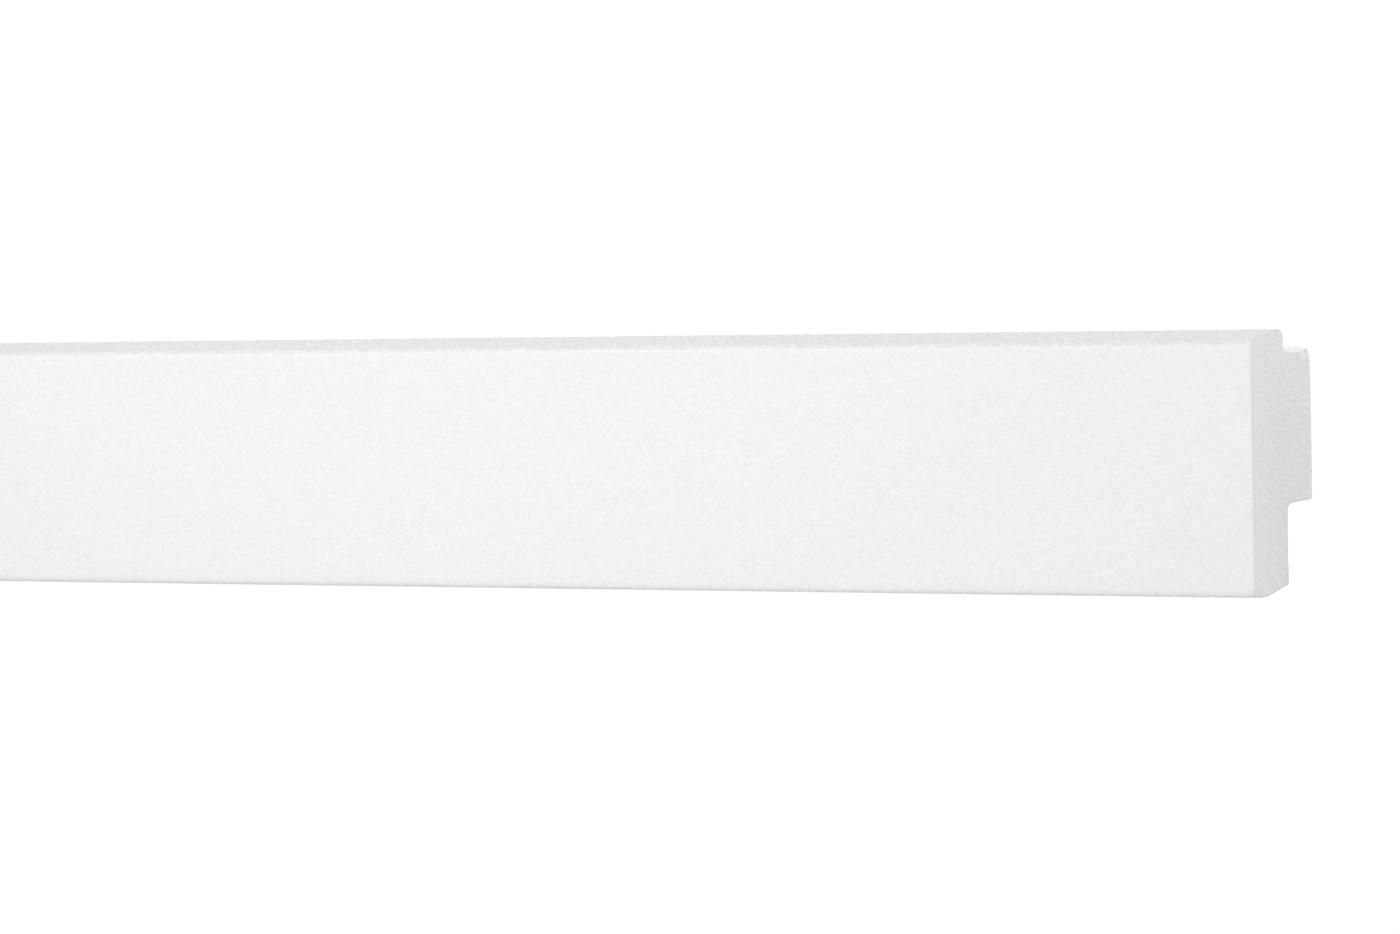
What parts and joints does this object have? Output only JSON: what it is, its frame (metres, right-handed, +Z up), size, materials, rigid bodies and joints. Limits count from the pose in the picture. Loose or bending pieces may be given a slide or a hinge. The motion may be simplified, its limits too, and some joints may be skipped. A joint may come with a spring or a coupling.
{
  "type": "indirect lighting crown moulding length",
  "caption": "Straight cornice moulding in white rigid foam: a flat panel with bevelled edges and a rear block that is glued to the wall, leaving light channels above and below.",
  "frame": {"origin": "middle of the flat back of the rear block, which is glued to the wall, midway along the length", "axes": "+X along the length, +Y into the wall, -Y out to the room, +Z up"},
  "size_m": [0.45, 0.025, 0.065],
  "materials": {
    "white_foam": "matte, fine orange-peel grain, open cells on the cut ends"
  },
  "bodies": {
    "root": {"cornice_length": "white_foam"}
  },
  "joints": []
}
